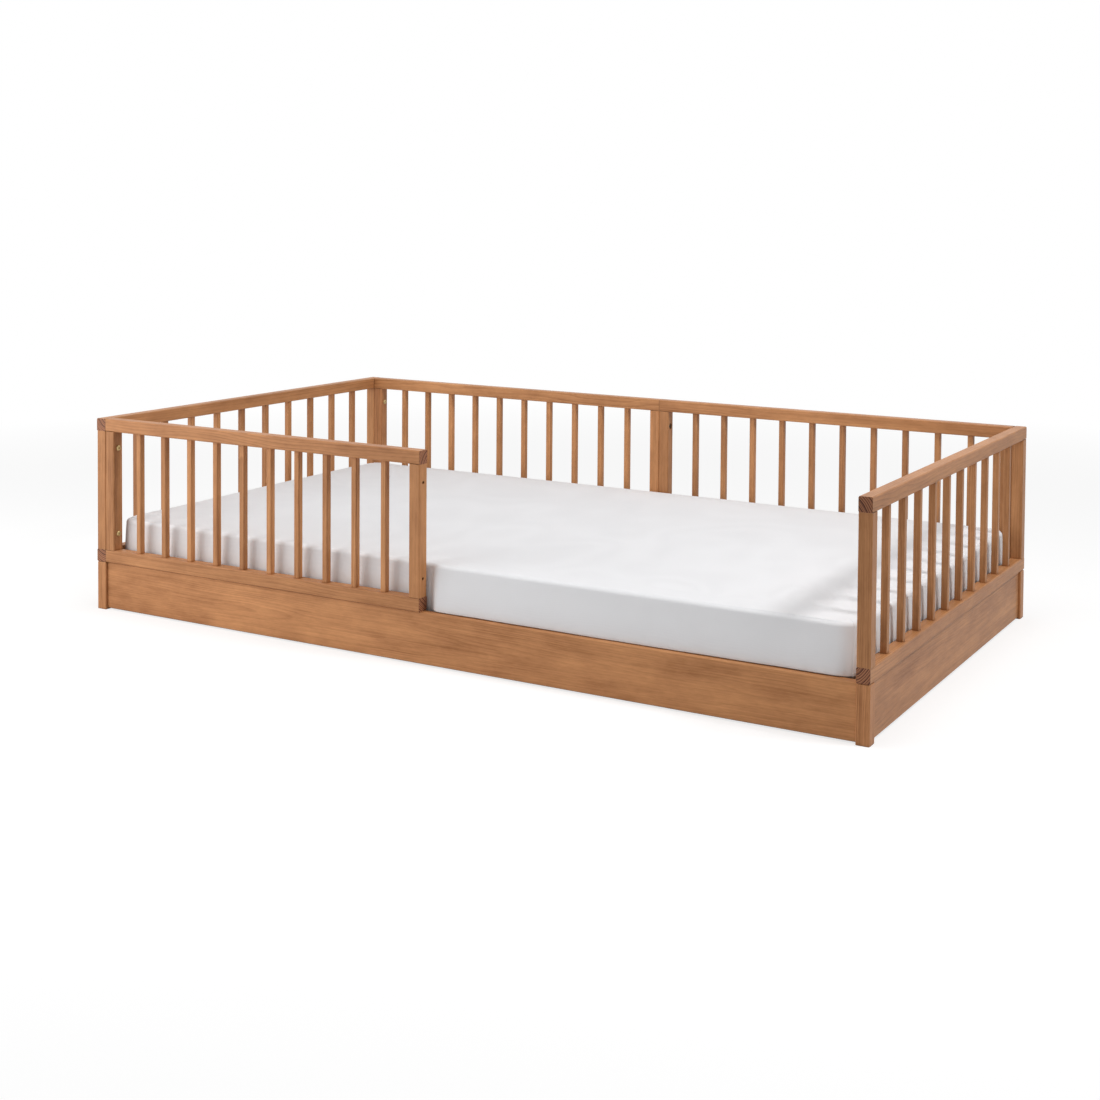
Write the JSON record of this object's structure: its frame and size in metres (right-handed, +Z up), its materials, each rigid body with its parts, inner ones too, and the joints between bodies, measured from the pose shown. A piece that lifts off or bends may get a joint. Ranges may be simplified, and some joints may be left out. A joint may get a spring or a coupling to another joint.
{
  "type": "toddler floor bed",
  "caption": "Low wooden floor bed for a toddler with spindle guards round it and an open way in at the front, a slatted base, a mattress and a fitted sheet.",
  "frame": {"origin": "on the floor, under the middle of the bed", "axes": "+X along the bed towards the end guard beside the way in, +Y from the front to the back, +Z up"},
  "size_m": [1.98, 1.07, 0.464],
  "materials": {
    "frame_wood": "clear satin oil on a honey coloured close-grained hardwood",
    "inner_wood": "planed pale softwood, no finish",
    "bolt_steel": "zinc plated, satin",
    "webbing": "woven polyester webbing",
    "mattress_cover": "knitted mattress cover",
    "sheet_cotton": "plain white woven cotton"
  },
  "bodies": {
    "bed": {"back_cleat": "inner_wood", "back_left_guard_bottom_rail": "frame_wood", "back_left_guard_left_post": "frame_wood", "back_left_guard_right_post": "frame_wood", "back_left_guard_spindles": "frame_wood", "back_left_guard_top_rail": "frame_wood", "back_right_guard_bottom_rail": "frame_wood", "back_right_guard_left_post": "frame_wood", "back_right_guard_right_post": "frame_wood", "back_right_guard_spindles": "frame_wood", "back_right_guard_top_rail": "frame_wood", "base_back_board": "frame_wood", "base_front_board": "frame_wood", "base_left_board": "frame_wood", "base_post_back_left": "frame_wood", "base_post_back_right": "frame_wood", "base_post_front_left": "frame_wood", "base_post_front_right": "frame_wood", "base_right_board": "frame_wood", "beam_foot_left": "inner_wood", "beam_foot_middle": "inner_wood", "beam_foot_right": "inner_wood", "centre_beam": "inner_wood", "corner_block_back_left": "inner_wood", "corner_block_back_right": "inner_wood", "corner_block_front_left": "inner_wood", "corner_block_front_right": "inner_wood", "corner_bolts": "bolt_steel", "front_cleat": "inner_wood", "front_guard_bottom_rail": "frame_wood", "front_guard_left_post": "frame_wood", "front_guard_right_post": "frame_wood", "front_guard_spindles": "frame_wood", "front_guard_top_rail": "frame_wood", "left_guard_back_post": "frame_wood", "left_guard_bottom_rail": "frame_wood", "left_guard_front_post": "frame_wood", "left_guard_spindles": "frame_wood", "left_guard_top_rail": "frame_wood", "locating_keys": "inner_wood", "right_guard_back_post": "frame_wood", "right_guard_bottom_rail": "frame_wood", "right_guard_front_post": "frame_wood", "right_guard_spindles": "frame_wood", "right_guard_top_rail": "frame_wood", "seam_bolts": "bolt_steel", "slat_strap_back": "webbing", "slat_strap_front": "webbing", "slats": "inner_wood"},
    "mattress": {"mattress": "mattress_cover", "fitted_sheet": "sheet_cotton"}
  },
  "joints": [
    {"name": "mattress_lift", "type": "slide", "parent": "bed", "child": "mattress", "axis": [0, 0, 1], "range_m": [0, 0.45]}
  ]
}
